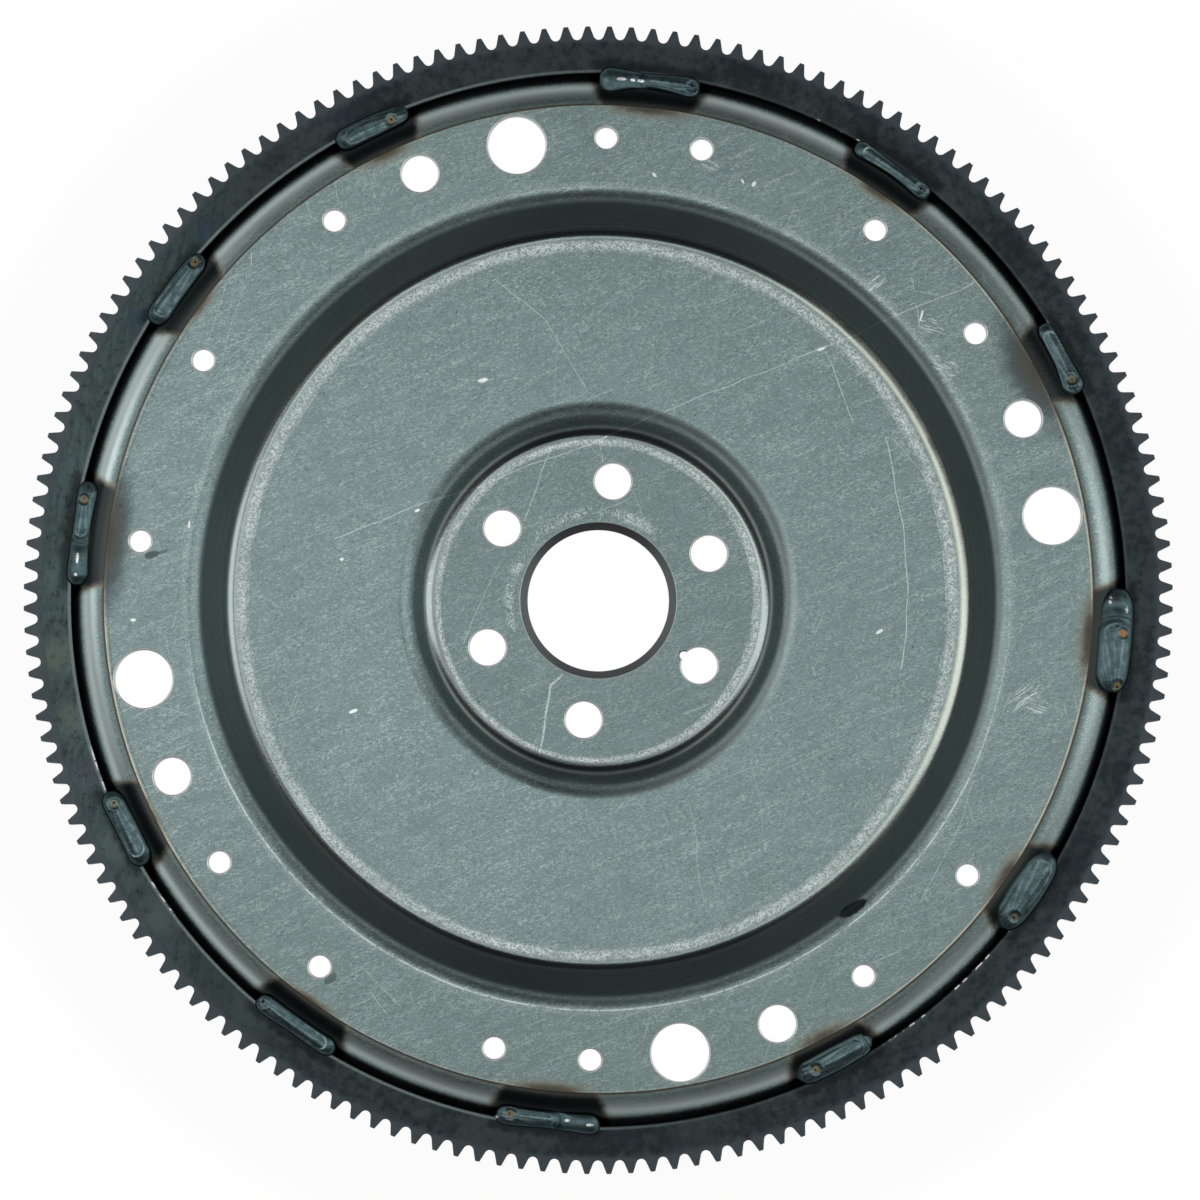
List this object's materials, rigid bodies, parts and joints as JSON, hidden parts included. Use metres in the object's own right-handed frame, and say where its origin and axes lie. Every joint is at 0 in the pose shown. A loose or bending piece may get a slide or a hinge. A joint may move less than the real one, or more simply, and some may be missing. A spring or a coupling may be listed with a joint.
{
  "type": "flexplate",
  "caption": "Flexplate: a dished sheet-steel drive plate with bolt holes and a welded-on toothed starter ring, joining a crankshaft to a torque converter.",
  "frame": {"origin": "on the plate's axis, at the underside of the hub, which is the crankshaft's side", "axes": "+Z along the axis towards the torque converter; +X to the right of the picture and +Y to its top, with the first crankshaft hole 23 degrees from +X"},
  "size_m": [0.361, 0.361, 0.0237],
  "materials": {
    "plate_steel": "bare rolled sheet, oiled, with fine streaks and scratches",
    "ring_steel": "dark heat-treated steel with thin scale",
    "weld_metal": "blue-grey weld metal with ripples and glassy slag spots"
  },
  "bodies": {
    "root": {"drive_plate": "plate_steel", "ring_gear": "ring_steel", "weld_bead_01": "weld_metal", "weld_bead_02": "weld_metal", "weld_bead_03": "weld_metal", "weld_bead_04": "weld_metal", "weld_bead_05": "weld_metal", "weld_bead_06": "weld_metal", "weld_bead_07": "weld_metal", "weld_bead_08": "weld_metal", "weld_bead_09": "weld_metal", "weld_bead_10": "weld_metal", "weld_bead_11": "weld_metal", "weld_bead_12": "weld_metal"}
  },
  "joints": []
}
